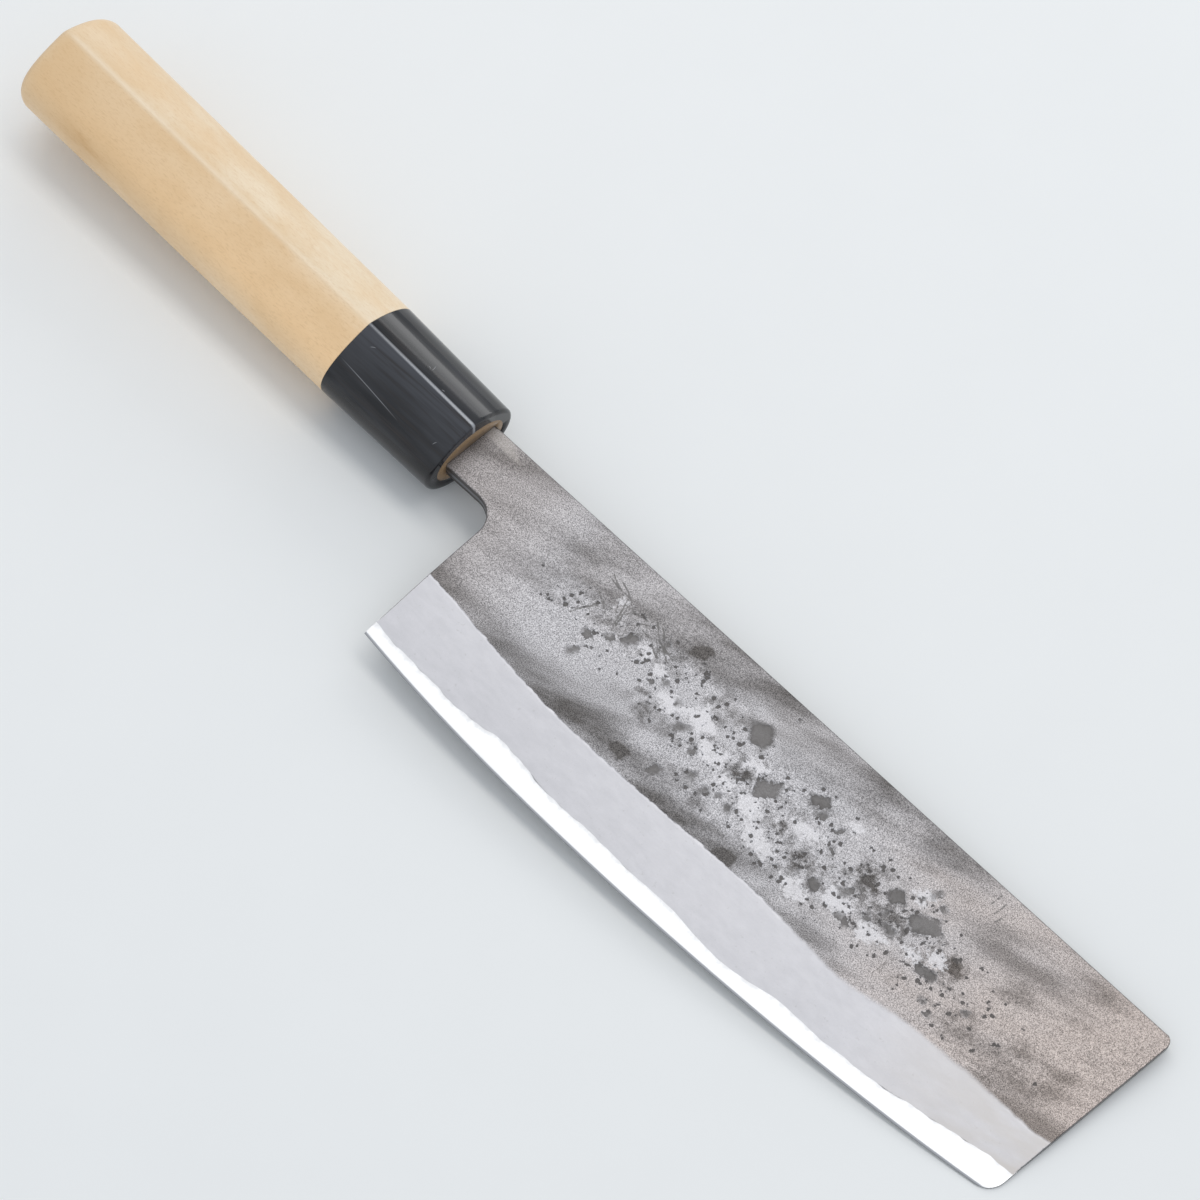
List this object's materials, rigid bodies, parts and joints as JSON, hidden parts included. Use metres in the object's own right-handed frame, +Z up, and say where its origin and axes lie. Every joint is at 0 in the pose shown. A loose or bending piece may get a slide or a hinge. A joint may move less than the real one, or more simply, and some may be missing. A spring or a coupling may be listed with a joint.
{
  "type": "nakiri knife",
  "caption": "Japanese vegetable knife with a tall straight laminated steel blade, wide bevels, a pale wooden handle and a black horn ferrule.",
  "frame": {"origin": "middle of the bounding box on the surface that the knife lies on", "axes": "+X along the knife from the butt to the nose, +Y from the cutting edge to the spine, +Z up out of the right side of the blade"},
  "size_m": [0.3068, 0.0638, 0.0249],
  "materials": {
    "core_steel": "polished hard core, bright at the edge",
    "cladding": "pear-skin forged finish above satin bevels",
    "horn": "polished black horn",
    "ho_wood": "pale wood, satin",
    "resin": "dark bonding resin"
  },
  "bodies": {
    "root": {"core_steel": "core_steel", "cladding_right": "cladding", "cladding_left": "cladding", "ferrule": "horn", "handle_body": "ho_wood", "tang_resin": "resin"}
  },
  "joints": []
}
